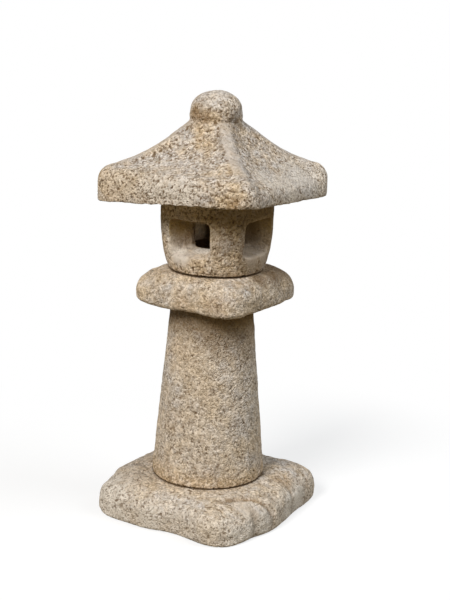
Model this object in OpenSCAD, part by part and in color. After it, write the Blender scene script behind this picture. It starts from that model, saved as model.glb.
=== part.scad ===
// Garden stone lantern: five cast stones stacked dry, each located by a steel dowel or a spigot.
// Millimetres, +Z up. The origin is on the ground, under the middle of the base.

/* [Base stone] */
// Side of the square base
base_side = 386; // [330:1:440]
// Height of the base where the post stands
base_h = 80; // [66:1:110]
// Height of the base's upright rim, where the crown begins
base_rim_h = 34; // [20:1:50]
// Fullness of the base's crown: 2 is an ellipse, more is squarer
base_crown = 2.3; // [1.6:0.1:3]
// Rounding of the rim's lower edge
base_foot_r = 10; // [4:1:15]
// Squareness of the outline: 2 is a circle, 10 nearly a sharp square
base_squareness = 5.2; // [4:0.2:10]
// How far the rough-hewn rim wanders in and out
base_wave = 10; // [0:0.5:12]
// How far the base's hewn faces swell and sink
base_lump = 3; // [0:0.5:5]
// Depth of the trough worn across a corner of the base
trough_depth = 6; // [2:0.5:9]
// Width of that trough
trough_w = 24; // [16:1:32]
// Turn of the base under the stack, in degrees
base_turn = 2; // [-10:1:10]

/* [Post] */
// Height of the post between its two seats
post_h = 384; // [300:1:480]
// Diameter at the foot
post_foot_d = 242; // [200:1:260]
// Diameter at the head
post_head_d = 174; // [120:1:190]
// Rounding of the two end edges
post_edge_r = 5; // [2:0.5:10]

/* [Platform] */
// Side of the square platform
platform_side = 266; // [240:1:300]
// Height of the platform where the chamber stands
platform_h = 70; // [64:1:96]
// Height of the platform's upright rim, where the crown begins
platform_rim_h = 28; // [20:1:44]
// Fullness of the platform's crown
platform_crown = 1.8; // [1.6:0.1:3]
// Rounding of the rim's lower edge
platform_under_r = 13; // [4:1:18]
// Squareness of the outline
platform_squareness = 6.5; // [4:0.5:10]
// How far the platform and the chamber on it stand off the axis, towards +X
platform_shift = 9; // [0:1:14]

/* [Light chamber] */
// Height of the chamber
chamber_h = 166; // [150:1:200]
// Diameter of the round foot
chamber_foot_d = 203; // [190:1:220]
// Width across the flat sides at the head
chamber_head_w = 215; // [200:1:230]
// Squareness at the head, 2 being round
chamber_squareness = 2.8; // [2:0.1:5]
// Height of the curved lower part of the bowl
bowl_h = 110; // [60:1:130]
// Rounding of the foot's edge
chamber_foot_r = 6; // [2:0.5:10]
// Rounding of the head's edge
chamber_head_r = 5; // [2:0.5:10]
// Diameter of the round cavity for the light
cavity_d = 100; // [90:1:120]
// Thickness of the cavity's floor
floor_t = 36; // [32:1:40]
// Width of a window at its narrow neck
window_w = 50; // [30:1:56]
// Height of a window at its narrow neck
window_h = 60; // [40:1:70]
// Height of the window's sill above the foot
window_sill = 51; // [44:1:56]
// Width of the splayed mouth of a window
mouth_w = 106; // [80:1:126]
// How far the sill falls towards the mouth
mouth_fall = 12; // [2:1:14]
// How far the lintel rises towards the mouth
mouth_rise = 4; // [2:1:10]
// Squareness of a window's outline
window_squareness = 7; // [4:0.5:10]
// Length of the straight neck between splay and cavity
neck_t = 3; // [2:1:10]

/* [Roof] */
// Side of the square roof at the eaves
roof_side = 372; // [340:1:420]
// Height of the roof from its seat to the top of the knob
roof_h = 204; // [184:1:240]
// Height of the eaves' upright edge
eave_h = 58; // [46:1:66]
// Rounding of the eaves' upper edge
eave_top_r = 34; // [8:1:38]
// Rounding of the eaves' lower edge
eave_under_r = 4; // [2:1:10]
// How far the eaves hang below the roof's seat
eave_hang = 20; // [0:1:24]
// How far they hang at the one corner that is worn shorter
worn_hang = -2; // [-6:1:20]
// Share of the eave towards +X that is worn away at its upper edge
eave_wear = 0.9; // [0:0.1:1]
// Turn of the roof on the stack, in degrees
roof_turn = 4; // [-10:1:10]
// Squareness of the eaves
eave_squareness = 10; // [6:0.5:12]
// How far each slope is hollowed between its two hips
slope_hollow = 11; // [0:1:14]
// Steepness of the slope's curve, 1 being straight
slope_sweep = 1.7; // [1:0.05:2]
// How far each slope swells and sinks
slope_lump = 1.5; // [0:0.5:3]
// Width of the raised band along each hip
hip_w = 31; // [16:1:40]
// How far that band stands up
hip_rise = 5; // [0:0.5:6]
// Width across the roof where the slopes meet the knob
slope_top_w = 90; // [76:1:104]
// Squareness of the roof where the slopes meet the knob
slope_top_squareness = 4.5; // [2:0.5:6]
// Diameter of the knob
knob_d = 107; // [90:1:124]
// Height of the knob's dome
dome_h = 40; // [24:1:46]
// Height of the knob's upright neck
neck_h = 20; // [10:1:28]
// Width of the flat seat left round the chamber's head
seat_margin = 13; // [6:1:16]
// Height of the spigot that keeps the roof on the chamber
spigot_h = 12; // [6:1:20]
// Gap round the spigot
spigot_gap = 2; // [1:0.5:4]

/* [Dowels] */
// Diameter of the steel dowels
dowel_d = 16; // [10:1:20]
// Bevel at the ends of a dowel
dowel_bevel = 1.5; // [0.5:0.5:3]
// Gap round a dowel in the stone that it is bedded in
bed_gap = 0.2; // [0.1:0.1:0.5]
// Gap round a dowel in the stone that lifts off it
lift_gap = 1; // [0.5:0.5:2]
// Gap over the top of a dowel
end_gap = 3; // [1:1:6]
// Depth of the base dowel in the base
base_dowel_depth = 50; // [30:1:54]
// Height of the base dowel above the base
base_dowel_reach = 55; // [30:1:80]
// Depth of the platform dowel in the post
platform_dowel_depth = 50; // [30:1:80]
// Height of the platform dowel above the post
platform_dowel_reach = 26; // [16:1:28]
// Depth of the chamber dowel in the platform
chamber_dowel_depth = 24; // [16:1:28]
// Height of the chamber dowel above the platform
chamber_dowel_reach = 20; // [12:1:22]

/* [Hidden] */
$fn = 96;

// Sides of a lofted ring, a multiple of 8 so that each corner has its own point
ring_sides = 64;
// Sides of a ring of the base and the roof, whose faces are less even
hewn_sides = 96;
// Steps along a rounded edge, and along a long curve
edge_steps = 4;
curve_steps = 10;
// How far cutters run past the faces that they cut
over = 1;

// Levels of the seats between the stones
base_top = base_h;
post_top = base_top + post_h;
platform_top = post_top + platform_h;
chamber_top = platform_top + chamber_h;

stone = "wheat";
steel = "silver";

// Angle of point j of a ring of n points: evenly spaced, then drawn towards the four corners
function ring_angle(j, n = ring_sides) = let (t = 360 * j / n) t + 9 * sin(4 * t);

// Reach of a rounded square of the given half width, seen from its middle at angle t
function reach(half, squareness, t) =
    half / pow(pow(abs(cos(t)), squareness) + pow(abs(sin(t)), squareness), 1 / squareness);

// Points [half width, height] along a rounded edge about the centre c, from angle a to angle b
function edge(c, r, a, b) =
    [for (i = [0 : edge_steps]) let (t = a + (b - a) * i / edge_steps) c + r * [cos(t), sin(t)]];

function mix(a, b, u) = a + (b - a) * u;

// One ring of a stone: half width and height at the middle of a side, and its squareness
function ring(half, z, squareness) =
    [for (j = [0 : ring_sides - 1]) let (t = ring_angle(j), r = reach(half, squareness, t))
        [r * cos(t), r * sin(t), z]];

function middle(points) = [for (k = [0 : 2]) [for (p = points) p[k]] * [for (p = points) 1 / len(points)]];

// Closed skin over rings that run upwards, each with the same number of points
module skin(rings) {
    n = len(rings[0]);
    last = (len(rings) - 1) * n;
    foot = len(rings) * n;
    sides = [for (i = [0 : len(rings) - 2], j = [0 : n - 1])
        let (a = i * n + j, b = i * n + (j + 1) % n)
        each [[a, a + n, b + n], [a, b + n, b]]];
    caps = [for (j = [0 : n - 1]) let (k = (j + 1) % n)
        each [[foot, j, k], [foot + 1, last + k, last + j]]];
    polyhedron([for (r = rings) each r, middle(rings[0]), middle(rings[len(rings) - 1])],
               concat(sides, caps));
}

// A single swelling at an angle, dying away to both sides
function bump(t, at, spread) = exp(-pow((t - at) / spread, 2));

// Slow wander of a rough-hewn rim at angle t, between about -1 and 1
function wander(t) = (1.1 * cos(6 * t + 10) + 1.3 * cos(7 * t + 59) - cos(10 * t + 30)) / 3.4
    + 0.5 * bump(t, 257, 13) - 0.6 * bump(t, 292, 9);

// Swelling of a hewn face at angle t and share u of the way up it, between -1 and 1
function lumps(t, u) =
    (cos(9 * t + 400 * u + 30) + cos(11 * t - 300 * u + 110) + cos(14 * t - 620 * u)) / 3;

// A soft slab: an upright rim, and a crown that curves up to a round flat seat
function slab_rows(side, h, rim_h, foot_r, crown, squareness, seat_r) = let (half = side / 2) concat(
    [for (p = edge([half - foot_r, foot_r], foot_r, -90, 0)) [p[0], p[1], squareness]],
    [for (i = [0 : 2 * edge_steps]) let (t = 90 * i / (2 * edge_steps))
        [mix(seat_r, half, pow(cos(t), 2 / crown)),
         mix(rim_h, h, pow(sin(t), 2 / crown)),
         mix(2, squareness, pow(cos(t), 2 / crown))]]);

// Vertical hole for a dowel, from z upwards
module dowel_hole(z, depth, gap) {
    translate([0, 0, z]) cylinder(d = dowel_d + 2 * gap, h = depth);
}

// Round steel dowel with bevelled ends, standing on z
module dowel(z, length) {
    color(steel) translate([0, 0, z]) rotate_extrude() polygon([
        [0, 0], [dowel_d / 2 - dowel_bevel, 0], [dowel_d / 2, dowel_bevel],
        [dowel_d / 2, length - dowel_bevel], [dowel_d / 2 - dowel_bevel, length], [0, length]]);
}

// Line of the trough over the base's face: shares of the half side in plan, and of the height
trough_line = [[0.62, -0.68, 0.97], [0.66, -0.56, 0.97], [0.71, -0.45, 0.96], [0.81, -0.35, 0.93],
               [0.92, -0.29, 0.85], [1.00, -0.26, 0.68], [1.06, -0.22, 0.40]];

// Cutter for the trough: a round bar that comes down to its full depth along the line
module trough_cutter() {
    bar_r = (trough_w * trough_w / 4 + trough_depth * trough_depth) / (2 * trough_depth);
    last = len(trough_line) - 1;
    rings = [for (i = [0 : last]) let (
            here = trough_line[i],
            way = trough_line[min(last, i + 1)] - trough_line[max(0, i - 1)],
            heading = atan2(way[1], way[0]),
            lift = bar_r - trough_depth * min(1, i / 2))
        [for (j = [0 : 11]) let (t = 30 * j)
            [here[0] * base_side / 2 - bar_r * cos(t) * sin(heading),
             here[1] * base_side / 2 + bar_r * cos(t) * cos(heading),
             here[2] * base_h + lift + bar_r * sin(t)]]];
    skin(rings);
}

module base() {
    seat_r = post_foot_d / 2;
    rows = slab_rows(base_side, base_h, base_rim_h, base_foot_r, base_crown, base_squareness, seat_r);
    // Wander and lumps die away on the crown, so that the seat stays round and flat; one corner is fuller
    rings = [for (i = [0 : len(rows) - 1]) let (
            row = rows[i],
            share = min(1, 2 * (row[0] - seat_r) / (base_side / 2 - seat_r)),
            up = max(0, (row[1] - base_rim_h) / (base_h - base_rim_h)))
        [for (j = [0 : hewn_sides - 1]) let (
                t = ring_angle(j, hewn_sides),
                lump = base_lump * share * lumps(t, i / len(rows)),
                r = reach(row[0], row[2], t) + base_wave * share * wander(t) + (1 - up) * lump,
                full = 2 * base_lump * share * bump(t, 220, 14))
            [r * cos(t + base_turn), r * sin(t + base_turn), row[1] + up * (lump + full)]]];
    color(stone) difference() {
        skin(rings);
        dowel_hole(base_top - base_dowel_depth, base_dowel_depth + over, bed_gap);
        trough_cutter();
    }
}

module post() {
    slope = atan2(post_foot_d / 2 - post_head_d / 2, post_h);
    foot = post_foot_d / 2;
    head = post_head_d / 2;
    outline = concat(
        [[0, 0]],
        edge([foot - post_edge_r, post_edge_r], post_edge_r, -90, slope),
        edge([head - post_edge_r, post_h - post_edge_r], post_edge_r, slope, 90),
        [[0, post_h]]);
    color(stone) difference() {
        translate([0, 0, base_top]) rotate_extrude() polygon(outline);
        dowel_hole(base_top - over, base_dowel_reach + end_gap + over, lift_gap);
        dowel_hole(post_top - platform_dowel_depth, platform_dowel_depth + over, bed_gap);
    }
}

module platform() {
    rows = slab_rows(platform_side, platform_h, platform_rim_h, platform_under_r, platform_crown,
                     platform_squareness, chamber_foot_d / 2);
    color(stone) difference() {
        translate([platform_shift, 0, post_top]) skin([for (row = rows) ring(row[0], row[1], row[2])]);
        dowel_hole(post_top - over, platform_dowel_reach + end_gap + over, lift_gap);
        translate([platform_shift, 0, 0])
            dowel_hole(platform_top - chamber_dowel_depth, chamber_dowel_depth + over, bed_gap);
    }
}

// Half width and squareness of the chamber at height z: a round foot that swells into a squarer head
function chamber_row(z) = let (u = min(1, z / bowl_h), swell = 1 - pow(1 - u, 2))
    [mix(chamber_foot_d / 2, chamber_head_w / 2, swell), z, mix(2, chamber_squareness, swell)];

// Cutter for one window: a straight neck, then a splay out through the face that looks along -Y
module window_cutter() {
    face = chamber_head_w / 2;
    neck = cavity_d / 2 + neck_t;
    // Stations [distance from the axis, share of the splay]; the last lies outside the face
    stations = [[cavity_d / 4, 0], [neck, 0], [mix(neck, face, 1.4), 1.4]];
    rings = [for (s = stations) let (
            half_w = mix(window_w, mouth_w, s[1]) / 2,
            low = window_sill - s[1] * mouth_fall,
            high = window_sill + window_h + s[1] * mouth_rise)
        [for (j = [0 : ring_sides - 1]) let (t = ring_angle(j), r = reach(1, window_squareness, t))
            [half_w * r * cos(t), -s[0], mix(low, high, (1 + r * sin(t)) / 2)]]];
    skin(rings);
}

module light_chamber() {
    bowl = [for (i = [1 : curve_steps - 1])
        chamber_row(mix(chamber_foot_r, bowl_h, i / (curve_steps - 1)))];
    foot = edge([chamber_row(0)[0] - chamber_foot_r, chamber_foot_r], chamber_foot_r, -90, 0);
    head = edge([chamber_head_w / 2 - chamber_head_r, chamber_h - chamber_head_r], chamber_head_r, 0, 90);
    rings = concat(
        [for (p = foot) ring(p[0], p[1], 2)],
        [for (row = bowl) ring(row[0], row[1], row[2])],
        [for (p = head) ring(p[0], p[1], chamber_squareness)]);
    color(stone) translate([platform_shift, 0, 0]) difference() {
        translate([0, 0, platform_top]) skin(rings);
        translate([0, 0, platform_top + floor_t]) cylinder(d = cavity_d, h = chamber_h);
        for (side = [0 : 3]) translate([0, 0, platform_top]) rotate([0, 0, 90 * side]) window_cutter();
        dowel_hole(platform_top - over, chamber_dowel_reach + end_gap + over, lift_gap);
    }
}

// How far the eaves hang at angle t: evenly, but rising along two sides to the worn corner at +X -Y
function hang(t) = let (along = (cos(t) - sin(t)) / (2 * max(abs(cos(t)), abs(sin(t)))))
    mix(eave_hang, worn_hang, max(0, along));

// How far the upper edge of the eave towards +X is worn down at angle t, dying away before its corners
function wear(t) = let (
        side = t > 180 ? 360 - t : t,
        share = max(0, min(1, (45 - side) / 10)))
    eave_wear * share * share * (3 - 2 * share) * (eave_h - eave_top_r - 9 + hang(t));

// Share of the raised hip band at distance r from the axis and angle t: it swells softly and ends steeply
function hip_band(r, t) = let (gap = r * sin(t % 90 - 45))
    max(0, min(1, (hip_w / 2 + 8 + gap) / 16, (hip_w / 2 + 3 - gap) / 5));

// A ring of the roof, lower by a share of the eaves' hang and a share of the wear
function roof_ring(half, z, squareness, hang_share = 0, wear_share = 0) =
    [for (j = [0 : hewn_sides - 1]) let (t = ring_angle(j, hewn_sides), r = reach(half, squareness, t))
        [r * cos(t + roof_turn), r * sin(t + roof_turn), z - hang_share * hang(t) - wear_share * wear(t)]];

// A ring at share u of the way up the slopes: hollowed between the hips, uneven, and raised along the hips
function slope_ring(half, z, squareness, u) = let (share = min(1, 5 * u, 5 * (1 - u)))
    [for (j = [0 : hewn_sides - 1]) let (
            t = ring_angle(j, hewn_sides),
            hollow = slope_hollow * sin(180 * u) * pow(cos(2 * t), 2),
            r = reach(half, squareness, t) - hollow + slope_lump * share * lumps(t, u),
            drop = wear(t) * pow(max(0, 1 - 2 * u), 1.8))
        [r * cos(t + roof_turn), r * sin(t + roof_turn), z + hip_rise * share * hip_band(r, t) - drop]];

module roof() {
    half = roof_side / 2;
    neck_z = roof_h - dome_h - neck_h;
    // The seat stays flat under the whole of the chamber's head, which stands off the roof's middle
    seat_r = reach(chamber_head_w / 2, chamber_squareness, 45) + platform_shift + seat_margin;
    under = edge([half - eave_under_r, eave_under_r], eave_under_r, -90, 0);
    top_edge = edge([half - eave_top_r, eave_h - eave_top_r], eave_top_r, 0, 55);
    slope_start = top_edge[edge_steps];
    rings = concat(
        [roof_ring(seat_r, 0, 2)],
        [for (p = under) roof_ring(p[0], p[1], eave_squareness, 1)],
        [for (p = top_edge) roof_ring(p[0], p[1], eave_squareness, 0, 1)],
        [for (i = [1 : curve_steps]) let (u = i / curve_steps)
            slope_ring(mix(slope_start[0], slope_top_w / 2, u),
                       mix(slope_start[1], neck_z, pow(u, slope_sweep)),
                       mix(eave_squareness, slope_top_squareness, u),
                       u)],
        [for (i = [1 : edge_steps]) let (u = i / edge_steps, swell = 1 - pow(1 - u, 2))
            roof_ring(mix(slope_top_w, knob_d, swell) / 2, neck_z + neck_h * u,
                      mix(slope_top_squareness, 2, swell))],
        [for (i = [1 : curve_steps - 1]) let (t = 90 * i / curve_steps)
            roof_ring(knob_d / 2 * cos(t), roof_h - dome_h + dome_h * sin(t), 2)]);
    color(stone) translate([0, 0, chamber_top]) {
        skin(rings);
        translate([platform_shift, 0, -spigot_h])
            cylinder(d = cavity_d - 2 * spigot_gap, h = spigot_h + over);
    }
}

module base_dowel() {
    dowel(base_top - base_dowel_depth, base_dowel_depth + base_dowel_reach);
}

module platform_dowel() {
    dowel(post_top - platform_dowel_depth, platform_dowel_depth + platform_dowel_reach);
}

module chamber_dowel() {
    translate([platform_shift, 0, 0])
        dowel(platform_top - chamber_dowel_depth, chamber_dowel_depth + chamber_dowel_reach);
}

base();
post();
platform();
light_chamber();
roof();
base_dowel();
platform_dowel();
chamber_dowel();
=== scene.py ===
"""Dresses a garden stone lantern: five weathered stones, three steel dowels and a plain stage."""

import math
from collections import namedtuple

import bmesh
import bpy
import numpy as np
from bpy.props import FloatProperty, FloatVectorProperty, IntProperty, PointerProperty
from mathutils import Matrix, Vector, noise


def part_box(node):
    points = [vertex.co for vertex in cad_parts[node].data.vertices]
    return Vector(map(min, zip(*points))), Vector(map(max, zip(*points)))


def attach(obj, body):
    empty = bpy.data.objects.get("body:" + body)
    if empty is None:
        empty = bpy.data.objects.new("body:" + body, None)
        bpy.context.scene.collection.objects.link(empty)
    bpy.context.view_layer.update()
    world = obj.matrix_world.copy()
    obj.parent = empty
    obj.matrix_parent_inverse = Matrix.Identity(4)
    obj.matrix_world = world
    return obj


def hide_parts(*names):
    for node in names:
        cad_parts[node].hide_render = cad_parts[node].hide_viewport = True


bl_info = {
    "name": "Stone Garden Lantern",
    "version": (1, 0, 0),
    "blender": (4, 5, 0),
    "location": "View3D > Sidebar > Lantern",
    "description": "Dresses the stones and dowels of a garden lantern",
    "category": "Add Mesh",
}

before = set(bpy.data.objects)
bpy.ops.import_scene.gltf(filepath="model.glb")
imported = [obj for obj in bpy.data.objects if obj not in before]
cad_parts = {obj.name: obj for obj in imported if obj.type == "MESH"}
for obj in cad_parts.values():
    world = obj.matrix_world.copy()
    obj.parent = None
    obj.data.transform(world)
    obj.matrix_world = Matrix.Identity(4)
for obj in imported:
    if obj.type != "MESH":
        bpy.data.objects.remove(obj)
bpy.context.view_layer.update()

# Millimetres, for the sizes given
MM = 0.001
# How close two heights are when a vertex counts as lying on a bed
ON_BED = 0.1 * MM
# Stone this near a bed stays flat, so that the joint stays closed
FLAT_MARGIN = 12 * MM
# No socket for a dowel is wider than this, measured from the axis
SOCKET_MOST = 20 * MM
# Points this near the drilled radius of a socket lie on its wall, down to this far from the bed
SOCKET_WALL = 1.3 * MM
SOCKET_DEEPEST = 60 * MM
# How far easing moves the points of an arris or a crease: where that begins to count, and counts in full
ARRIS = (0.25 * MM, 1.3 * MM)
CREASE = (0.1 * MM, 0.9 * MM)
# Faces that a voxel remesh makes for each voxel's square of surface
FACES_PER_VOXEL = 1.3
# Points closer than this are one point, in a copy of a CAD node and in a turned dowel
COPY_WELD = 0.001 * MM
DOWEL_WELD = 0.01 * MM
# Bevel at the ends of a dowel
DOWEL_BEVEL = 1.5 * MM
# Steps that lead from one stone's noise to the next, so that no two stones look alike
SEED_STEP = np.array((1.0, 2.3, 3.7))
# Share of a spot's reach over which it keeps its full strength
SPOT_CORE = 0.2
# Share of dirt in a trough, and of darkening in a crease
TROUGH_DIRT = 0.35
CREASE_DARKENING = 0.6
# How far dirt spreads from the open joints, and from the joint under the roof
JOINT_DIRT = 8 * MM
ROOF_JOINT_DIRT = 6 * MM
# Turn of the roof on the chamber
ROOF_TURN = math.radians(4)
# Height of the photograph's frame in pixels, which the camera fills
IMAGE_HIGH = 600


def node_points(node):
    """The vertices of a CAD node as an array, one row each."""
    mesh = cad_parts[node].data
    points = np.empty(len(mesh.vertices) * 3, np.float32)
    mesh.vertices.foreach_get("co", points)
    return points.reshape(-1, 3).astype(float)


def from_axis(points, x=0.0):
    """Distance of each point from the upright axis through this x."""
    return np.hypot(points[:, 0] - x, points[:, 1])


# A flat round place where a stone touches its neighbour: its height, its middle and its radius
Bed = namedtuple("Bed", "height x radius")


def bed(node, height, x, most=1.0):
    """The flat bed of a stone at this height, round the axis through x and no wider than most."""
    points = node_points(node)
    reach = from_axis(points, x)
    return Bed(height, x, reach[(abs(points[:, 2] - height) < ON_BED) & (reach < most)].max())


def socket_radius(node, place):
    """Radius of the dowel socket that opens in a stone's bed."""
    points = node_points(node)
    reach = from_axis(points, place.x)
    rim = (abs(points[:, 2] - place.height) < ON_BED) & (reach < SOCKET_MOST) & (reach > MM)
    return reach[rim].max()


def spigot_end():
    """The lower face of the spigot under the roof."""
    points = node_points("roof")
    near = points[from_axis(points, CHAMBER_X) < 0.5 * CHAMBER_HEAD.radius]
    return bed("roof", near[:, 2].min(), CHAMBER_X, 0.5 * CHAMBER_HEAD.radius)


# Heights of the beds between the stones
BASE_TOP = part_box("post")[0].z
POST_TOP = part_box("platform")[0].z
PLATFORM_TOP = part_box("light_chamber")[0].z
CHAMBER_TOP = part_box("light_chamber")[1].z
ROOF_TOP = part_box("roof")[1].z
# The platform and the chamber stand a little off the lantern's axis
CHAMBER_X = (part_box("chamber_dowel")[0].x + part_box("chamber_dowel")[1].x) / 2

# The beds, which have to stay flat; the ground is a bed wider than the base
GROUND = Bed(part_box("base")[0].z, 0.0, 1.0)
POST_FOOT = bed("post", BASE_TOP, 0.0)
POST_HEAD = bed("post", POST_TOP, 0.0)
CHAMBER_FOOT = bed("light_chamber", PLATFORM_TOP, CHAMBER_X)
CHAMBER_HEAD = bed("light_chamber", CHAMBER_TOP, CHAMBER_X)
SPIGOT_END = spigot_end()


class LanternStone(bpy.types.PropertyGroup):
    """Sizes and colours of the weathered stone."""

    faces: IntProperty(
        name="Faces", description="About how many faces each dressed stone has",
        default=92000, min=5000, max=99000)
    easing: IntProperty(
        name="Easing", description="Smoothing passes that round the arrises",
        default=8, min=0, max=40)
    grain: FloatProperty(
        name="Grain", description="Width of a grain of the stone",
        default=4.4 * MM, min=2 * MM, max=20 * MM, unit="LENGTH")
    speck_size: FloatProperty(
        name="Speck size", description="Spacing of the small pits",
        default=4.3 * MM, min=3 * MM, max=30 * MM, unit="LENGTH")
    speck_depth: FloatProperty(
        name="Speck depth", description="Depth of the small pits",
        default=1.0 * MM, min=0, max=4 * MM, unit="LENGTH")
    pit_size: FloatProperty(
        name="Pit size", description="Spacing of the larger pits",
        default=5.8 * MM, min=4 * MM, max=30 * MM, unit="LENGTH")
    pit_depth: FloatProperty(
        name="Pit depth", description="Depth of the larger pits",
        default=1.8 * MM, min=0, max=5 * MM, unit="LENGTH")
    warm: FloatVectorProperty(
        name="Warm stone", description="Colour of the golden patches",
        default=(0.675, 0.52, 0.345), size=3, min=0, max=1, subtype="COLOR")
    cool: FloatVectorProperty(
        name="Cool stone", description="Colour of the greyer patches and of worn stone",
        default=(0.605, 0.552, 0.503), size=3, min=0, max=1, subtype="COLOR")
    # The pale colour also paints light, where the bleach marks stand in for it
    pale: FloatVectorProperty(
        name="Pale grain", description="Colour of the bright grains and of bleached stone",
        default=(0.82, 0.745, 0.65), size=3, min=0, max=1, subtype="COLOR")
    tan: FloatVectorProperty(
        name="Tan grain", description="Colour of the darker grains",
        default=(0.46, 0.325, 0.18), size=3, min=0, max=1, subtype="COLOR")
    ochre: FloatVectorProperty(
        name="Ochre stain", description="Colour of the rusty stains",
        default=(0.43, 0.27, 0.13), size=3, min=0, max=1, subtype="COLOR")
    # The umber also colours painted shade, where the dirt marks stand in for it
    umber: FloatVectorProperty(
        name="Pit umber", description="Colour of the dirt in pits and joints",
        default=(0.15, 0.088, 0.036), size=3, min=0, max=1, subtype="COLOR")
    # The olive is the colour of the painted shade under the overhangs, tinted as growth
    olive: FloatVectorProperty(
        name="Olive growth", description="Colour of the stone where it is sheltered and damp",
        default=(0.36, 0.22, 0.02), size=3, min=0, max=1, subtype="COLOR")


class LanternSteel(bpy.types.PropertyGroup):
    """Finish of the steel dowels."""

    colour: FloatVectorProperty(
        name="Steel", description="Colour of the dowels",
        default=(0.52, 0.51, 0.49), size=3, min=0, max=1, subtype="COLOR")
    sides: IntProperty(
        name="Sides", description="Faces round a dowel", default=48, min=12, max=96)


class LanternStage(bpy.types.PropertyGroup):
    """Floor, light and camera."""

    floor: FloatVectorProperty(
        name="Floor", description="Colour of the floor where the light falls on it",
        default=(0.34, 0.34, 0.34), size=3, min=0, max=1, subtype="COLOR")
    bounce: FloatVectorProperty(
        name="Bounce", description="Colour of the light that the floor throws back",
        default=(0.25, 0.205, 0.125), size=3, min=0, max=1, subtype="COLOR")
    key_power: FloatProperty(
        name="Key light", description="Power of the strong lamp on the left", default=740, unit="POWER")
    fill_power: FloatProperty(
        name="Fill light", description="Power of the weaker lamp on the right", default=390, unit="POWER")
    sky: FloatProperty(
        name="Sky", description="Strength of the even light from all round", default=0.08, min=0)


def shown(name, mesh):
    """A new object at the origin that holds this mesh."""
    piece = bpy.data.objects.new(name, mesh)
    bpy.context.scene.collection.objects.link(piece)
    return piece


def smooth_step(low, high, values):
    """0 below low, 1 above high, and a soft rise between."""
    share = np.clip((values - low) / (high - low), 0, 1)
    return share * share * (3 - 2 * share)


def even_copy(name, node, faces):
    """A closed copy of a CAD stone, cut up into about this many faces of even size."""
    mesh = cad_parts[node].data.copy()
    stone = bmesh.new()
    stone.from_mesh(mesh)
    bmesh.ops.remove_doubles(stone, verts=stone.verts, dist=COPY_WELD)
    area = sum(face.calc_area() for face in stone.faces)
    stone.to_mesh(mesh)
    stone.free()
    mesh.materials.clear()
    piece = shown(name, mesh)
    even = piece.modifiers.new("Even faces", "REMESH")
    even.mode = "VOXEL"
    even.voxel_size = math.sqrt(FACES_PER_VOXEL * area / faces)
    even.use_smooth_shade = True
    depsgraph = bpy.context.evaluated_depsgraph_get()
    piece.data = bpy.data.meshes.new_from_object(piece.evaluated_get(depsgraph))
    piece.modifiers.clear()
    bpy.data.meshes.remove(mesh)
    return piece


def ease_arrises(mesh, chosen, passes):
    """Rounds the edges of a stone at the chosen vertices."""
    stone = bmesh.new()
    stone.from_mesh(mesh)
    verts = [v for v, soft in zip(stone.verts, chosen) if soft]
    for _ in range(passes):
        bmesh.ops.smooth_vert(
            stone, verts=verts, factor=0.5, use_axis_x=True, use_axis_y=True, use_axis_z=True)
    stone.to_mesh(mesh)
    stone.free()


def mesh_arrays(mesh):
    """Points and normals of a mesh's vertices, as two arrays."""
    points = np.empty(len(mesh.vertices) * 3, np.float32)
    mesh.vertices.foreach_get("co", points)
    normals = np.empty(len(mesh.vertices) * 3, np.float32)
    mesh.vertex_normals.foreach_get("vector", normals)
    return points.reshape(-1, 3).astype(float), normals.reshape(-1, 3).astype(float)


# What is stored for the material at each point of a stone, mostly from 0 to 1. Dirt and shade holds dirt and
# painted shade, shaded holds painted shade in olive, and bleach and light holds bleached stone and painted
# light. Tone is below
# 0 for greyer stone, and bleach and light is above 1 where the noise that thins it would leave too little.
MARKS = ("pit", "worn", "dirt_and_shade", "stain", "bleach_and_light", "shaded", "tone")


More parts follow.
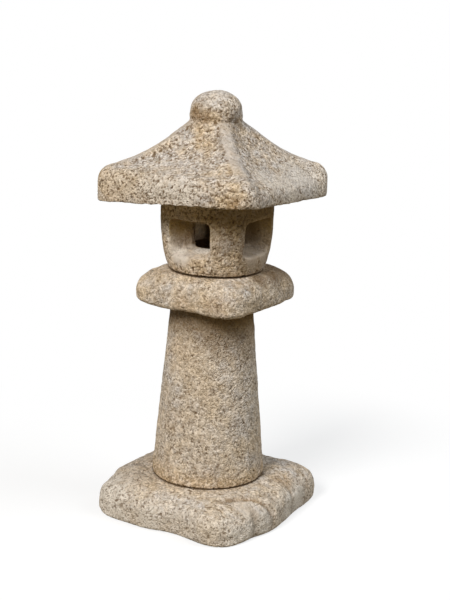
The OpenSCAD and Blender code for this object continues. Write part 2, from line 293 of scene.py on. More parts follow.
class Block:
    """A stone on the bench: an even, eased copy of its CAD node, and what is done at each point of it."""

    def __init__(self, name, node, beds, sockets, seed):
        look = bpy.context.scene.lantern_stone
        self.node, self.beds, self.sockets, self.seed = node, beds, sockets, seed
        self.piece = even_copy(name, node, look.faces)
        self.mesh = self.piece.data
        raw, _ = mesh_arrays(self.mesh)
        self.solid = np.ones(len(raw))
        for place in sockets:
            self.solid *= smooth_step(0.6 * SOCKET_MOST, SOCKET_MOST, from_axis(raw, place.x))
        ease_arrises(self.mesh, self.solid > 0.99, look.easing)
        self.points, self.normals = mesh_arrays(self.mesh)
        self.bend = self.spread(((raw - self.points) * self.normals).sum(1), passes=3)
        self.free = self.off_beds()
        self.rise = np.zeros(len(self.points))
        for mark in MARKS:
            setattr(self, mark, np.zeros(len(self.points)))

    def off_beds(self):
        """0 on the beds, rising to 1 at the flat margin from them."""
        away = np.ones(len(self.points))
        for height, x, radius in self.beds:
            beside = np.maximum(from_axis(self.points, x) - radius, 0)
            away = np.minimum(away, smooth_step(0, FLAT_MARGIN, np.hypot(self.points[:, 2] - height, beside)))
        return away

    def soften(self, chosen, passes):
        """Wears the edges among the chosen points rounder still."""
        ease_arrises(self.mesh, chosen, passes)
        self.points, self.normals = mesh_arrays(self.mesh)

    def spread(self, values, passes):
        """Evens out a number over the stone, so that it reaches past the faces where it arose."""
        ends = np.empty(len(self.mesh.edges) * 2, np.int32)
        self.mesh.edges.foreach_get("vertices", ends)
        a, b = ends.reshape(-1, 2).T
        neighbours = np.bincount(ends, minlength=len(values))
        for _ in range(passes):
            total = np.bincount(a, values[b], len(values)) + np.bincount(b, values[a], len(values))
            values = (values + total / neighbours) / 2
        return values

    def waves(self, size, crook=0.0):
        """Soft noise from about -0.7 to 0.7 at each point, in lumps of this size; crook bends them."""
        where = self.points / size + self.seed * SEED_STEP
        if crook:
            where = where + crook * np.array([noise.noise_vector(p) for p in (0.6 * where).tolist()])
        return np.array([noise.noise(p) for p in where.tolist()])

    def hew(self, size, depth):
        """Leaves the faces uneven, in lumps of this size."""
        self.rise += depth * self.waves(size) * self.free

    def chip(self, size, depth):
        """Knocks soft bites of this size out of the arrises."""
        arris = smooth_step(*ARRIS, self.bend)
        self.rise -= depth * smooth_step(0.0, 0.4, self.waves(size, 0.5)) * arris * self.free

    def eat(self, size, depth, least, most, shade, share=1.0):
        """Eats crooked pits, which begin where the noise is at least and are deepest where it is at most."""
        hollow = smooth_step(least, most, self.waves(size, 0.9)) * share * self.solid
        self.rise -= depth * hollow
        self.pit = np.maximum(self.pit, shade * hollow)

    def weather(self, share=1.0):
        """Small specks and fewer large pits, with less of both on worn stone."""
        look = bpy.context.scene.lantern_stone
        left = share * (1 - 0.8 * self.worn)
        self.eat(look.speck_size, look.speck_depth, least=0.10, most=0.42, shade=0.75, share=left)
        self.eat(look.pit_size, look.pit_depth, least=0.30, most=0.58, shade=0.9, share=left)

    def dig(self, route, width, depth):
        """Cuts a soft stained trough along a route in plan, given in millimetres."""
        flat = self.points[:, :2]
        gap = np.full(len(flat), np.inf)
        for start, end in zip(route, route[1:]):
            a, b = np.array(start) * MM, np.array(end) * MM
            along = np.clip((flat - a) @ (b - a) / ((b - a) @ (b - a)), 0, 1)
            gap = np.minimum(gap, np.linalg.norm(flat - a - along[:, None] * (b - a), axis=1))
        hollow = np.exp(-((gap / width) ** 2)) * self.free
        self.rise -= depth * hollow
        self.stain = np.maximum(self.stain, hollow)
        self.dirt_and_shade = np.maximum(self.dirt_and_shade, TROUGH_DIRT * hollow)

    def round_spots(self, spots):
        """1 at spots given in millimetres as (x, y, z, reach), falling to 0 at their reach."""
        share = np.zeros(len(self.points))
        for *spot, reach in spots:
            gap = np.linalg.norm(self.points - np.array(spot) * MM, axis=1)
            share = np.maximum(share, 1 - smooth_step(SPOT_CORE * reach * MM, reach * MM, gap))
        return share

    def wear(self, spots, depth):
        """Wears stone away round spots, to this depth."""
        self.rise -= depth * self.round_spots(spots) * self.free

    def blot(self, spots):
        """Rusty stains round spots."""
        self.stain = np.maximum(self.stain, self.round_spots(spots))

    def darken(self, spots, share):
        """Darkens the stone round spots, up to this share, with umber: dirt, and painted shade where shade
        falls.
        """
        self.dirt_and_shade = np.maximum(self.dirt_and_shade, share * self.round_spots(spots))

    def lighten(self, spots, share):
        """Paler stone round spots, up to this share: bleached stone, and painted light on lit places."""
        self.bleach_and_light = np.maximum(self.bleach_and_light, share * self.round_spots(spots))

    def paint_olive_shade(self, share):
        """Painted shade in the olive of growth, as much as this share at each point."""
        self.shaded = np.maximum(self.shaded, share)

    def tinge(self, spots, share):
        """Warmer stone round spots, or greyer where the share is below 0."""
        self.tone += share * self.round_spots(spots)

    def rub(self, spots, share):
        """Smooth, worn stone round spots, up to this share."""
        self.worn = np.maximum(self.worn, share * self.round_spots(spots))

    def soil(self, reach):
        """Dirt in the open joints at the rims of the beds, and darker stone in the creases."""
        for height, x, radius in self.beds:
            gap = np.hypot(self.points[:, 2] - height, from_axis(self.points, x) - radius)
            self.dirt_and_shade = np.maximum(self.dirt_and_shade, 1 - smooth_step(0.3 * reach, reach, gap))
        self.dirt_and_shade = np.maximum(self.dirt_and_shade, CREASE_DARKENING * smooth_step(*CREASE, -self.bend) * self.free)

    def bare_beds(self):
        """Takes the olive painted shade off the beds, which the neighbours cover."""
        self.shaded *= 1 - (1 - self.free) * smooth_step(0.5, 0.8, abs(self.normals[:, 2]))

    def place(self, body, slot, material):
        """Sets the points, stores what the material reads, attaches the stone to its body and hides its CAD
        node.
        """
        self.bare_beds()
        points = self.points + self.normals * self.rise[:, None]
        points[:, 2] = np.maximum(points[:, 2], GROUND.height)
        self.true_sockets(points)
        self.mesh.vertices.foreach_set("co", points.astype(np.float32).ravel())
        self.mesh.update()
        for mark in MARKS:
            attribute = self.mesh.attributes.new(mark, "FLOAT", "POINT")
            attribute.data.foreach_set("value", getattr(self, mark).astype(np.float32))
        self.mesh.materials.append(material)
        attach(self.piece, body)
        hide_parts(self.node)

    def true_sockets(self, points):
        """Brings the walls of the dowel sockets back to their drilled radius."""
        for place in self.sockets:
            radius = socket_radius(self.node, place)
            reach = from_axis(points, place.x)
            near_bed = abs(points[:, 2] - place.height) < SOCKET_DEEPEST
            wall = (abs(reach - radius) < SOCKET_WALL) & near_bed
            middle = np.array((place.x, 0.0))
            points[wall, :2] = middle + (points[wall, :2] - middle) * (radius / reach[wall])[:, None]


def socket_of(value):
    """True if a value is a node's socket, to be linked and not set."""
    return isinstance(value, bpy.types.NodeSocket)


class Shading:
    """Short ways to add and link the nodes of one material or world."""

    def __init__(self, owner):
        owner.use_nodes = True
        self.tree = owner.node_tree
        self.tree.nodes.clear()

    def node(self, kind, inputs=(), **settings):
        """Adds a node; an input that is a socket is linked, and any other is set."""
        made = self.tree.nodes.new("ShaderNode" + kind)
        for name, value in settings.items():
            setattr(made, name, value)
        for name, value in dict(inputs).items():
            if socket_of(value):
                self.tree.links.new(value, made.inputs[name])
            else:
                made.inputs[name].default_value = value
        return made

    def noise(self, where, scale, detail=3.0, roughness=0.55):
        """Noise between 0 and 1 on the given coordinates."""
        inputs = {"Vector": where, "Scale": scale, "Detail": detail, "Roughness": roughness}
        return self.node("TexNoise", inputs).outputs["Fac"]

    def attribute(self, name):
        """The number that a mesh stores for each vertex under this name."""
        return self.node("Attribute", attribute_name=name).outputs["Fac"]

    def ramp(self, value, low, high, start=0.0, end=1.0):
        """A soft step of the value from start to end."""
        inputs = {"Value": value, "From Min": low, "From Max": high, "To Min": start, "To Max": end}
        return self.node("MapRange", inputs, interpolation_type="SMOOTHSTEP").outputs["Result"]

    def math(self, operation, a, b):
        """One sum of two values."""
        return self.node("Math", {0: a, 1: b}, operation=operation).outputs[0]

    def times(self, *values):
        """The product of several values."""
        product = values[0]
        for value in values[1:]:
            product = self.math("MULTIPLY", product, value)
        return product

    def mix(self, share, a, b):
        """Colour a turning into colour b."""
        made = self.node("Mix", data_type="RGBA")
        for name, value in (("Factor_Float", share), ("A_Color", a), ("B_Color", b)):
            plug = next(s for s in made.inputs if s.identifier == name)
            if socket_of(value):
                self.tree.links.new(value, plug)
            else:
                plug.default_value = value
        return next(s for s in made.outputs if s.identifier == "Result_Color")

    def finish(self, shader):
        """Links the last shader to the output."""
        kind = "OutputWorld" if isinstance(self.tree.id_data, bpy.types.World) else "OutputMaterial"
        self.node(kind, {"Surface": shader})


def opaque(colour):
    """A colour with full alpha, as a shader's socket takes it."""
    return (*colour, 1.0)


WHITE = opaque((1, 1, 1))


def pocks(s, where):
    """Small round holes, as in the open face of the roof."""
    return s.times(s.ramp(s.noise(where, 250, 2, 0.6), 0.57, 0.65), 0.95)


def furrows(s, where):
    """Short crooked marks, as a pecking tool leaves them."""
    off_line = s.math("SUBTRACT", s.noise(where, 140, 1), 0.5)
    line = s.ramp(s.node("Math", {0: off_line}, operation="ABSOLUTE").outputs[0], 0.03, 0.09, 1.0, 0.0)
    return s.times(line, s.ramp(s.noise(where, 170, 1), 0.51, 0.61), 0.72)


def weathered_stone(name, shift, warmth, marks):
    """Weathered stone: warm and cool patches, rusty stains, pale and tan grains, dark seams and dirty pits.

    The scales of the noise are counts to the metre: 9 gives patches a hand wide, and 420 gives sand."""
    look = bpy.context.scene.lantern_stone
    material = bpy.data.materials.new(name)
    s = Shading(material)
    place = s.node("TexCoord").outputs["Object"]
    where = s.node("Mapping", {"Vector": place, "Location": (shift, 2 * shift, 3 * shift)}).outputs["Vector"]
    pit, worn, dirt_and_shade, stain, bleach_and_light, shaded, tone = (s.attribute(mark) for mark in MARKS)
    rough = s.ramp(worn, 0.0, 1.0, 1.0, 0.25)
    # Grains: cells that a fine noise bends, each with a number of its own and a dark seam round it
    wander = s.node("TexNoise", {"Vector": where, "Scale": 130.0, "Detail": 2.0}).outputs["Color"]
    bend = {0: wander, 1: (6 * MM,) * 3, 2: where}
    bent = s.node("VectorMath", bend, operation="MULTIPLY_ADD").outputs["Vector"]
    cells = {"Vector": bent, "Scale": 1 / look.grain}
    grain = s.node("TexVoronoi", cells, feature="F1")
    pick = s.node("SeparateColor", {"Color": grain.outputs["Color"]}).outputs["Red"]
    edge = s.node("TexVoronoi", cells, feature="DISTANCE_TO_EDGE").outputs["Distance"]
    seam = s.times(s.ramp(edge, 0.02, 0.17, 1.0, 0.0), s.ramp(s.noise(where, 75, 2), 0.38, 0.62), rough)
    # Patches of warm and cool stone, and rust
    drift = s.math("ADD", s.times(s.noise(where, 9, 3), 2.2), s.times(s.noise(where, 40, 2), 2.0))
    hue = s.math("ADD", s.math("SUBTRACT", drift, 2.1 - warmth), tone)
    body = s.mix(hue, opaque(look.cool), opaque(look.warm))
    rust = s.times(s.ramp(s.noise(where, 30, 4, 0.6), 0.52, 0.74), 0.35)
    marked = s.times(stain, s.ramp(s.noise(where, 48, 3, 0.6), 0.30, 0.62, 0.15, 0.85))
    body = s.mix(s.math("MAXIMUM", rust, marked), body, opaque(look.ochre))
    # Lighter and darker grains, some of them pale or tan
    lift = s.math("ADD", s.times(s.ramp(pick, 0.0, 1.0, -0.27, 0.30), rough), 1.0)
    body = s.node("VectorMath", {0: body, "Scale": lift}, operation="SCALE").outputs["Vector"]
    body = s.mix(s.times(s.ramp(pick, 0.45, 1.0), rough, 0.35), body, opaque(look.pale))
    body = s.mix(s.times(s.ramp(pick, 0.40, 0.0), rough, 0.25), body, opaque(look.tan))
    # What the weather did, with painted light and shade: wear, bleaching and painted light, seams, olive
    # painted shade, and dirt and painted shade in marks and pits
    body = s.mix(s.times(worn, 0.5), body, opaque(look.cool))
    body = s.mix(s.times(bleach_and_light, s.ramp(s.noise(where, 40, 3), 0.3, 0.6, 0.5, 1.0)), body, opaque(look.pale))
    body = s.mix(s.times(seam, 0.4), body, opaque(look.tan))
    body = s.mix(s.times(shaded, s.ramp(s.noise(where, 60, 3), 0.3, 0.6, 0.7, 1.0)), body, opaque(look.olive))
    flock = s.ramp(s.noise(where, 26, 2), 0.35, 0.65, 0.4, 1.0)
    speck = s.times(marks(s, where), flock, rough)
    body = s.mix(speck, body, opaque(look.umber))
    body = s.mix(s.times(dirt_and_shade, 0.92), body, opaque(look.umber))
    body = s.mix(s.ramp(pit, 0.1, 0.9, 0.0, 0.85), body, opaque(look.umber))
    # Relief that is too fine for the mesh
    fine = s.noise(where, 420, 3, 0.6)
    dome = s.ramp(grain.outputs["Distance"], 0.0, 0.8, 1.0, 0.0)
    sunk = s.math("ADD", s.times(seam, 0.8), s.times(speck, 1.5))
    height = s.math("ADD", s.times(dome, rough), s.math("SUBTRACT", s.times(fine, 0.5), sunk))
    bump = s.node("Bump", {"Height": height, "Strength": 0.8, "Distance": 1.1 * MM})
    shader = s.node("BsdfPrincipled", {
        "Base Color": body, "Normal": bump.outputs["Normal"],
        "Roughness": s.ramp(fine, 0.3, 0.7, 0.82, 0.97), "Specular IOR Level": 0.25})
    s.finish(shader.outputs["BSDF"])
    return material


def brushed_steel():
    """Bar steel with fine marks round the bar."""
    look = bpy.context.scene.lantern_steel
    material = bpy.data.materials.new("dowel_steel")
    s = Shading(material)
    place = s.node("TexCoord").outputs["Object"]
    drawn = s.node("Mapping", {"Vector": place, "Scale": (90, 90, 2200)}).outputs["Vector"]
    marks = s.noise(drawn, 1.0, 3)
    dull = s.ramp(s.noise(place, 60, 3), 0.45, 0.7)
    dark = tuple(0.6 * c for c in look.colour)
    colour = s.mix(s.times(dull, 0.6), opaque(look.colour), opaque(dark))
    bump = s.node("Bump", {"Height": marks, "Strength": 0.25, "Distance": 0.1 * MM})
    shader = s.node("BsdfPrincipled", {
        "Base Color": colour, "Metallic": 1.0, "Roughness": s.ramp(marks, 0.3, 0.7, 0.32, 0.48),
        "Normal": bump.outputs["Normal"]})
    s.finish(shader.outputs["BSDF"])
    return material


class LanternBase(bpy.types.Operator):
    """Hews the rough square base"""

    bl_idname = "lantern.base"
    bl_label = "Base stone"

    def execute(self, context):
        stone = Block("base_stone", "base", [GROUND, POST_FOOT], [POST_FOOT], seed=11.3)
        for size, depth in ((60, 1.5), (24, 1.8), (11, 0.9)):
            stone.hew(size * MM, depth * MM)
        stone.chip(26 * MM, 3 * MM)
        long_trough = [(122, -122), (137, -86), (156, -67), (178, -56), (200, -44)]
        side_trough = [(150, 51), (192, 46)]
        corner_notch = [(184, -96), (204, -110)]
        stone.dig(long_trough, 9 * MM, 2.5 * MM)
        stone.dig(side_trough, 6 * MM, 2 * MM)
        stone.dig(corner_notch, 9 * MM, 4 * MM)
        rust = [(-94, -156, 75, 45), (-74, -198, 22, 40), (158, 59, 74, 45), (182, 115, 38, 40)]
        stone.blot(rust)
        # Painted shade on the tops: they get less of the pale colour than the sides
        facing_up = smooth_step(0.6, 0.95, stone.normals[:, 2])
        stone.bleach_and_light += 0.6 - 0.45 * facing_up
        left_face = [(-130, -190, 40, 120), (-10, -196, 25, 60), (-95, -199, 25, 70)]
        left_shoulder = [(-110, -140, 75, 90)]
        right_face = [(192, 39, 25, 60), (186, 82, 31, 50), (196, -68, 30, 42), (187, -115, 22, 42),
                      (173, -150, 20, 36)]
        stone.lighten(left_face, 1.2)
        # Painted light on the right face
        stone.lighten(right_face, 1.6)
        stone.lighten(left_shoulder, 0.6)
        dirty_rim = [(-104, -188, 61, 20), (174, -36, 70, 30), (170, -120, 62, 36)]
        stone.darken(dirty_rim, 0.1)
        golden_top = [(-101, -164, 76, 60), (-69, -144, 80, 50), (104, 70, 80, 60), (154, 53, 74, 50)]
        stone.tinge(golden_top, 0.3)
        beside_trough = [(165, -103, 66, 34), (182, -90, 56, 26)]
        stone.rub(right_face, 0.4)
        stone.rub(beside_trough, 0.6)
        stone.soil(JOINT_DIRT)
        stone.weather(0.85)
        stone.place("base", "base_stone", weathered_stone("base_stone", 0.3, 0.45, furrows))
        return {"FINISHED"}


class LanternPost(bpy.types.Operator):
    """Dresses the round tapered post"""

    bl_idname = "lantern.post"
    bl_label = "Post"

    def execute(self, context):
        stone = Block("post_stone", "post", [POST_FOOT, POST_HEAD], [POST_FOOT, POST_HEAD], seed=3.1)
        for size, depth in ((60, 1.2), (14, 0.8)):
            stone.hew(size * MM, depth * MM)
        rust = [(-18, -94, 359, 60), (62, -101, 115, 45), (-34, -113, 116, 35), (-22, -107, 218, 40)]
        stone.blot(rust)
        stone.stain *= 0.5
        # A golden foot under paler stone
        foot = 1 - smooth_step(12 * MM, 45 * MM, stone.points[:, 2] - BASE_TOP)
        stone.stain = np.maximum(stone.stain, 0.35 * foot)
        stone.bleach_and_light += 0.28 * (1 - foot)
        stone.tone += 0.5 * foot
        stone.soil(JOINT_DIRT)
        # Painted shadow of the platform: olive near the top and umber lower down, reaching further down on
        # the right
        right = smooth_step(0, 95 * MM, stone.points[:, 0])
        depth = POST_TOP - stone.points[:, 2]
        reach = 90 * MM + 60 * MM * right
        under = 1 - smooth_step(0.3 * reach, reach, depth)
        stone.paint_olive_shade((0.35 + 0.4 * right) * (1 - smooth_step(25 * MM, 70 * MM, depth)))
        stone.dirt_and_shade = np.maximum(stone.dirt_and_shade, (0.75 - 0.1 * right) * under)
        golden_head = [(-9, -94, 380, 60)]
        grey_shaded_right = [(102, -18, 276, 90), (87, -47, 331, 60), (105, -27, 224, 60)]
        stone.tinge(golden_head, 0.3)
        # Painted shade: a cooler grey on the shaded right side
        stone.tinge(grey_shaded_right, -0.25)
        stone.weather(0.8)
        stone.place("post", "post_stone", weathered_stone("post_stone", 0.7, 0.55, furrows))
        return {"FINISHED"}


class LanternPlatform(bpy.types.Operator):
    """Dresses the soft square platform"""

    bl_idname = "lantern.platform"
    bl_label = "Platform"

    def execute(self, context):
        beds = [POST_HEAD, CHAMBER_FOOT]
        stone = Block("platform_stone", "platform", beds, beds, seed=7.7)
        for size, depth in ((55, 3), (20, 1.5)):
            stone.hew(size * MM, depth * MM)
        stone.chip(20 * MM, 3.5 * MM)
        rust = [(95, -129, 487, 40), (20, -129, 480, 35)]
        stone.blot(rust)
        stone.stain *= 0.7
        stone.bleach_and_light += 0.12
        right_top = [(100, 87, 531, 70), (118, 40, 531, 50), (122, -10, 531, 35)]
        near_corner = [(112, -80, 530, 34), (124, -55, 527, 34), (127, -117, 503, 26)]
        # Painted shadow of the chamber and the roof on the right of the top, and a little painted shade by
        # the near corner
        stone.darken(right_top, 0.85)
        stone.darken(near_corner, 0.2)
        golden_left = [(60, -132, 499, 45), (7, -133, 484, 45)]
        stone.tinge(golden_left, 0.4)
        stone.soil(JOINT_DIRT)
        stone.weather(0.65)
        stone.place("platform", "platform_stone", weathered_stone("platform_stone", 1.1, 0.6, furrows))
        return {"FINISHED"}


class LanternChamber(bpy.types.Operator):
    """Dresses the light chamber with its four splayed windows"""

    bl_idname = "lantern.chamber"
    bl_label = "Light chamber"

    def execute(self, context):
        beds = [CHAMBER_FOOT, CHAMBER_HEAD]
        stone = Block("chamber_stone", "light_chamber", beds, [CHAMBER_FOOT], seed=5.9)
        # The lips under the windows are worn round
        high = stone.points[:, 2] - PLATFORM_TOP
        outer = from_axis(stone.points, CHAMBER_X) > 74 * MM
        stone.soften(outer & (high < 64 * MM), 40)
        # What lies inside the windows and the cavity faces less outwards than the walls do
        high = stone.points[:, 2] - PLATFORM_TOP
        out = stone.points[:, :2] - np.array((CHAMBER_X, 0.0))
        apart = np.maximum(np.linalg.norm(out, axis=1), MM)
        outward = (out * stone.normals[:, :2]).sum(1) / apart
        inside = 1 - smooth_step(0.55, 0.85, outward)
        right = smooth_step(-20 * MM, 70 * MM, out[:, 0])
        stone.worn = 0.6 * inside * stone.free
        # Painted shade in the cavity, under the lintels, deep in the right window and on what faces right
        stone.dirt_and_shade = (1 - smooth_step(50 * MM, 56 * MM, apart)) * stone.free
        lintel = inside * smooth_step(98 * MM, 112 * MM, high)
        near_neck = 1 - smooth_step(75 * MM, 108 * MM, apart)
        above_sill = smooth_step(52 * MM, 66 * MM, high)
        deep = right * inside * near_neck * above_sill
        stone.dirt_and_shade = np.maximum(stone.dirt_and_shade, np.maximum(0.8 * lintel, 0.8 * deep))
        stone.dirt_and_shade = np.maximum(stone.dirt_and_shade, 0.5 * smooth_step(0.75, 0.95, stone.normals[:, 0]))
        # Painted shade in the olive of growth, in the windows and under the roof
        stone.paint_olive_shade(0.8 * inside * smooth_step(58 * MM, 100 * MM, high))
        stone.paint_olive_shade((0.35 + 0.2 * right) * smooth_step(75 * MM, 120 * MM, high))
        left_splay = [(-27, -74, 623, 20), (-32, -84, 632, 22), (-21, -63, 612, 18)]
        stone.blot(left_splay)
        left_lip = [(-3, -104, 568, 24), (-22, -102, 566, 20)]
        right_lip = [(108, -20, 570, 34), (106, 22, 566, 34)]
        stone.rub(right_lip + left_lip, 0.9)
        pillar = [(92, -84, 670, 60), (92, -84, 619, 55), (79, -95, 649, 50)]
        over_left_window = [(55, -100, 668, 28)]
        right_window = [(88, 38, 645, 30), (100, -13, 577, 32), (90, 26, 579, 32)]
        # Painted shade of the roof on the pillar and over the left window, and in the right window
        stone.darken(pillar, 0.42)
        stone.darken(over_left_window, 0.2)
        stone.darken(right_window, 0.38)
        left_sill = [(13, -68, 582, 24), (-20, -88, 582, 20), (30, -63, 583, 24)]
        upper_wall = [(111, -53, 671, 20), (102, -73, 675, 18), (-25, -108, 668, 18)]
        left_frame = [(-44, -101, 623, 22), (-39, -98, 602, 20), (-36, -94, 585, 20)]
        # Painted light on the left sill, on the upper wall and on the left frame
        stone.lighten(left_sill, 1.2)
        stone.lighten(upper_wall, 0.35)
        stone.lighten(left_lip, 0.35)
        stone.lighten(left_frame, 0.6)
        golden = [(-23, -67, 618, 24), (102, -72, 636, 34)]
        stone.tinge(golden, 0.4)
        for size, depth in ((50, 1.6), (16, 0.6)):
            stone.hew(size * MM, depth * MM)
        stone.soil(JOINT_DIRT)
        stone.weather()
        stone.place("light_chamber", "chamber_stone", weathered_stone("chamber_stone", 1.9, 0.75, furrows))
        return {"FINISHED"}


def hip_gap(points):
    """Distance in plan from the nearest of the roof's four hips, which run out from the axis."""
    off = (np.arctan2(points[:, 1], points[:, 0]) - ROOF_TURN) % (math.pi / 2) - math.pi / 4
    return from_axis(points) * abs(np.sin(off))


class LanternRoof(bpy.types.Operator):
    """Dresses the hipped roof with its knob"""

    bl_idname = "lantern.roof"
    bl_label = "Roof"

    def execute(self, context):
        stone = Block("roof_stone", "roof", [CHAMBER_HEAD, SPIGOT_END], [], seed=2.6)
        # The raised hips are rubbed smooth, between the eaves and the knob
        high = stone.points[:, 2] - CHAMBER_TOP
        slope = smooth_step(45 * MM, 65 * MM, high) * (1 - smooth_step(140 * MM, 152 * MM, high))
        band = (1 - smooth_step(9 * MM, 15 * MM, hip_gap(stone.points))) * slope
        stone.worn = 0.6 * band
        for size, depth in ((70, 0.7), (22, 0.8)):
            stone.hew(size * MM, depth * MM)
        stone.chip(18 * MM, 1.0 * MM)
        left_eave_foot = [(-40, -189, 699, 18), (-12, -187, 699, 20), (18, -185, 699, 22),
                          (48, -183, 699, 22), (77, -181, 699, 18)]
        stone.wear(left_eave_foot, 2.5 * MM)
        stone.dirt_and_shade = 0.12 * band
        knob_rust = [(-19, -50, 862, 24), (2, -52, 854, 24)]
        slope_rust = [(-35, -168, 752, 16), (132, 63, 764, 13)]
        eave_rust = [(-110, -194, 700, 34), (-40, -190, 697, 26), (-12, -187, 700, 20), (18, -185, 701, 22),
                     (45, -183, 701, 20), (66, -182, 698, 24), (164, -172, 710, 30)]
        stone.blot(knob_rust + slope_rust)
        stone.blot(eave_rust)
        golden_neck = [(22, -48, 851, 30), (21, -63, 820, 50)]
        golden_hip = [(106, -122, 763, 40), (164, -172, 717, 50)]
        stone.tinge(golden_neck, 0.6)
        stone.tinge(golden_hip, 0.35)
        neck_right = [(50, -19, 853, 14), (46, 4, 843, 16), (50, 12, 834, 14)]
        neck_left = [(-19, -50, 860, 22), (2, -52, 854, 22)]
        knob_and_hip = [(-10, -52, 874, 26), (58, -67, 814, 26), (75, -85, 799, 24), (125, -125, 760, 26)]
        right_of_hip = [(57, -16, 832, 24), (68, -28, 818, 22), (82, -42, 803, 18)]
        # Painted shade in the hollow right of the knob's neck
        stone.darken(neck_right, 0.6)
        stone.darken(neck_left, 0.4)
        stone.darken(knob_and_hip, 0.18)
        # Painted shade on the slope right of the near hip
        stone.darken(right_of_hip, 0.35)
        left_eave = [(-26, -188, 715, 60), (25, -185, 713, 50), (50, -183, 712, 60)]
        left_eave_end = [(-97, -193, 715, 60)]
        right_eave = [(179, 3, 723, 80), (159, 76, 732, 90), (170, 130, 726, 80), (165, -45, 740, 60)]
        knob_top = [(0, 0, 904, 70)]
        stone.lighten(left_eave, 0.95)
        stone.lighten(left_eave_end, 0.5)
        # Painted light on the right eave
        stone.lighten(right_eave, 0.65)
        stone.lighten(knob_top, 0.3)
        grey_left = [(-106, -150, 760, 50), (-69, -133, 766, 45), (-33, -74, 812, 30)]
        grey_shaded_right = [(92, -71, 798, 35), (112, -94, 781, 35), (128, -23, 761, 60), (146, 42, 743, 60)]
        grey_eave_and_knob = [(173, 74, 721, 60), (0, 0, 904, 45)]
        golden_left = [(-93, -192, 732, 45), (-55, -190, 724, 40), (-120, -190, 715, 40), (16, -80, 795, 40)]
        stone.tinge(grey_left, -0.4)
        # Painted shade: a cooler grey on the slope right of the near hip
        stone.tinge(grey_shaded_right, -0.35)
        stone.tinge(grey_eave_and_knob, -0.5)
        stone.tinge(golden_left, 0.45)
        smooth_eave_and_knob = [(179, 3, 723, 80), (159, 76, 732, 80), (165, -45, 740, 60), (0, 0, 904, 80)]
        stone.rub(smooth_eave_and_knob, 0.4)
        stone.soil(ROOF_JOINT_DIRT)
        stone.weather(1.1)
        stone.place("roof", "roof_stone", weathered_stone("roof_stone", 2.7, 0.38, pocks))
        return {"FINISHED"}


class LanternDowels(bpy.types.Operator):
    """Turns the three steel dowels between the stones"""

    bl_idname = "lantern.dowels"
    bl_label = "Dowels"

    def execute(self, context):
        steel = brushed_steel()
        bodies = {"base_dowel": "base", "platform_dowel": "post", "chamber_dowel": "platform"}
        for node, body in bodies.items():
            piece = shown(f"{node}_steel", turned_dowel(node, context.scene.lantern_steel.sides))
            piece.data.materials.append(steel)
            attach(piece, body)
            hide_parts(node)
        return {"FINISHED"}


def turned_dowel(node, sides):
    """A round bar with bevelled ends, spun from its outline."""
    low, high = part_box(node)
    x = (low.x + high.x) / 2
    bar = bmesh.new()
    outline = [(x, low.z), (high.x, low.z), (high.x, high.z), (x, high.z)]
    verts = [bar.verts.new((across, 0, up)) for across, up in outline]
    for pair in zip(verts, verts[1:]):
        bar.edges.new(pair)
    bmesh.ops.bevel(bar, geom=verts[1:3], offset=DOWEL_BEVEL, affect="VERTICES",
                    segments=3, profile=0.5, material=-1)
    bmesh.ops.spin(bar, geom=bar.verts[:] + bar.edges[:], cent=(x, 0, 0), axis=(0, 0, 1),
                   angle=2 * math.pi, steps=sides, use_merge=True)
    bmesh.ops.remove_doubles(bar, verts=bar.verts, dist=DOWEL_WELD)
    bmesh.ops.recalc_face_normals(bar, faces=bar.faces)
    for face in bar.faces:
        face.smooth = abs(face.normal.z) < 0.9
    mesh = bpy.data.meshes.new(node)
    bar.to_mesh(mesh)
    bar.free()
    return mesh


class LanternSet(bpy.types.Operator):
    """Lays the floor, hangs the lamps and sets up the camera"""

    bl_idname = "lantern.stage"
    bl_label = "Stage"

    def execute(self, context):
        lay_floor()
        hang_lamps()
        light_sky()
        set_camera()
        context.scene.view_settings.view_transform = "Standard"
        return {"FINISHED"}


# Camera: distance from the axis and height in metres, focal length in pixels, turns in radians, sensor in mm
CAMERA_DISTANCE = 2.7331
CAMERA_HEIGHT = 1.1754
FOCAL_PIXELS = 1332.4
CAMERA_PITCH = 0.2551
CAMERA_YAW = 0.0101
CAMERA_ROLL = 0.0275
CAMERA_AZIMUTH = math.radians(34.08)
SENSOR = 36.0


def set_camera():
    """Stands the camera where the photograph was taken from."""
    data = bpy.data.cameras.new("camera")
    data.sensor_width = SENSOR
    data.lens = FOCAL_PIXELS * SENSOR / IMAGE_HIGH
    camera = bpy.data.objects.new("camera", data)
    bpy.context.scene.collection.objects.link(camera)
    place = Vector((CAMERA_DISTANCE * math.sin(CAMERA_AZIMUTH),
                    -CAMERA_DISTANCE * math.cos(CAMERA_AZIMUTH), CAMERA_HEIGHT))
    turn = Matrix.Rotation(CAMERA_AZIMUTH - CAMERA_YAW, 4, "Z")
    tilt = Matrix.Rotation(math.pi / 2 - CAMERA_PITCH, 4, "X")
    camera.matrix_world = Matrix.Translation(place) @ turn @ tilt @ Matrix.Rotation(CAMERA_ROLL, 4, "Z")
    bpy.context.scene.camera = camera


def seen_directly(s):
    """1 for what the camera, a reflection or glass shows, and 0 for light that falls on things."""
    rays = s.node("LightPath").outputs
    direct = s.math("MAXIMUM", rays["Is Camera Ray"], rays["Is Glossy Ray"])
    return s.math("MAXIMUM", direct, rays["Is Transmission Ray"])


# Floor, in metres: its radius, and how far from the lantern it starts to turn plain white and has done so
FLOOR_RADIUS = 30
WHITE_FROM = 0.45
WHITE_AT = 0.95
# How much the floor near the lantern glows, so that only the shadow is darker than white
FLOOR_GLOW = 0.72


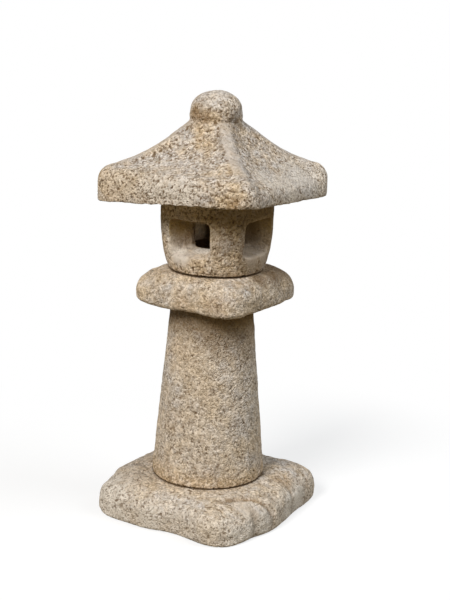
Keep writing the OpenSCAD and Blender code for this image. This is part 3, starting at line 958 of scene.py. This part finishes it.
def lay_floor():
    """A wide floor that keeps the lantern's shadow and turns plain white away from it."""
    disc = bmesh.new()
    bmesh.ops.create_circle(disc, cap_ends=True, radius=FLOOR_RADIUS, segments=64)
    mesh = bpy.data.meshes.new("floor")
    disc.to_mesh(mesh)
    disc.free()
    floor = shown("floor", mesh)
    look = bpy.context.scene.lantern_stage
    material = bpy.data.materials.new("floor")
    s = Shading(material)
    matt = s.node("BsdfDiffuse", {"Color": opaque(look.floor)})
    glow = s.node("Emission", {"Color": WHITE, "Strength": FLOOR_GLOW})
    near = s.node("AddShader", {0: matt.outputs[0], 1: glow.outputs[0]})
    white = s.node("Emission", {"Color": WHITE, "Strength": 1.0})
    place = s.node("TexCoord").outputs["Object"]
    away = s.node("VectorMath", {0: place}, operation="LENGTH").outputs["Value"]
    turned = s.ramp(away, WHITE_FROM, WHITE_AT)
    seen = s.node("MixShader", {0: turned, 1: near.outputs[0], 2: white.outputs[0]})
    thrown = s.node("BsdfDiffuse", {"Color": opaque(look.bounce)})
    choice = s.node("MixShader", {0: seen_directly(s), 1: thrown.outputs[0], 2: seen.outputs[0]})
    s.finish(choice.outputs[0])
    mesh.materials.append(material)


def lamp(name, azimuth, elevation, distance, size, power, colour):
    """A square soft lamp that looks at the middle of the lantern; angles in degrees, lengths in metres."""
    data = bpy.data.lights.new(name, "AREA")
    data.size = size
    data.energy = power
    data.color = colour
    thing = bpy.data.objects.new(name, data)
    bpy.context.scene.collection.objects.link(thing)
    a, e = math.radians(azimuth), math.radians(elevation)
    out = Vector((math.sin(a) * math.cos(e), -math.cos(a) * math.cos(e), math.sin(e)))
    thing.location = Vector((0, 0, ROOF_TOP / 2)) + out * distance
    thing.rotation_euler = (-out).to_track_quat("-Z", "Y").to_euler()


def hang_lamps():
    """A strong soft lamp on the left, and a weaker and wider one on the right."""
    look = bpy.context.scene.lantern_stage
    lamp("key", azimuth=0, elevation=38, distance=9.0, size=3.1,
         power=look.key_power, colour=(1.0, 0.98, 0.95))
    lamp("fill", azimuth=110, elevation=43, distance=9.0, size=5.0,
         power=look.fill_power, colour=(0.90, 0.95, 1.0))


def light_sky():
    """An even sky that is white where the camera sees it."""
    world = bpy.data.worlds.new("sky")
    bpy.context.scene.world = world
    look = bpy.context.scene.lantern_stage
    s = Shading(world)
    strength = s.ramp(seen_directly(s), 0, 1, look.sky, 1.0)
    s.finish(s.node("Background", {"Color": WHITE, "Strength": strength}).outputs[0])


PIECES = (LanternBase, LanternPost, LanternPlatform, LanternChamber, LanternRoof, LanternDowels, LanternSet)


class LanternPanel(bpy.types.Panel):
    """Lists the lantern's pieces and settings"""

    bl_idname = "LANTERN_PT_pieces"
    bl_label = "Stone lantern"
    bl_space_type = "VIEW_3D"
    bl_region_type = "UI"
    bl_category = "Lantern"

    def draw(self, context):
        for piece in PIECES:
            self.layout.operator(piece.bl_idname)
        for group in ("lantern_stone", "lantern_steel", "lantern_stage"):
            settings = getattr(context.scene, group)
            for name in settings.bl_rna.properties.keys():
                if name not in ("rna_type", "name"):
                    self.layout.prop(settings, name)


GROUPS = {"lantern_stone": LanternStone, "lantern_steel": LanternSteel, "lantern_stage": LanternStage}
CLASSES = (*GROUPS.values(), *PIECES, LanternPanel)


def register():
    """Adds the classes and their settings."""
    for item in CLASSES:
        bpy.utils.register_class(item)
    for name, group in GROUPS.items():
        setattr(bpy.types.Scene, name, PointerProperty(type=group))


def unregister():
    """Takes the settings and classes away again."""
    for name in GROUPS:
        delattr(bpy.types.Scene, name)
    for item in reversed(CLASSES):
        bpy.utils.unregister_class(item)


def main():
    """Makes every piece."""
    register()
    bpy.ops.lantern.base()
    bpy.ops.lantern.post()
    bpy.ops.lantern.platform()
    bpy.ops.lantern.chamber()
    bpy.ops.lantern.roof()
    bpy.ops.lantern.dowels()
    bpy.ops.lantern.stage()


if __name__ == "__main__":
    main()
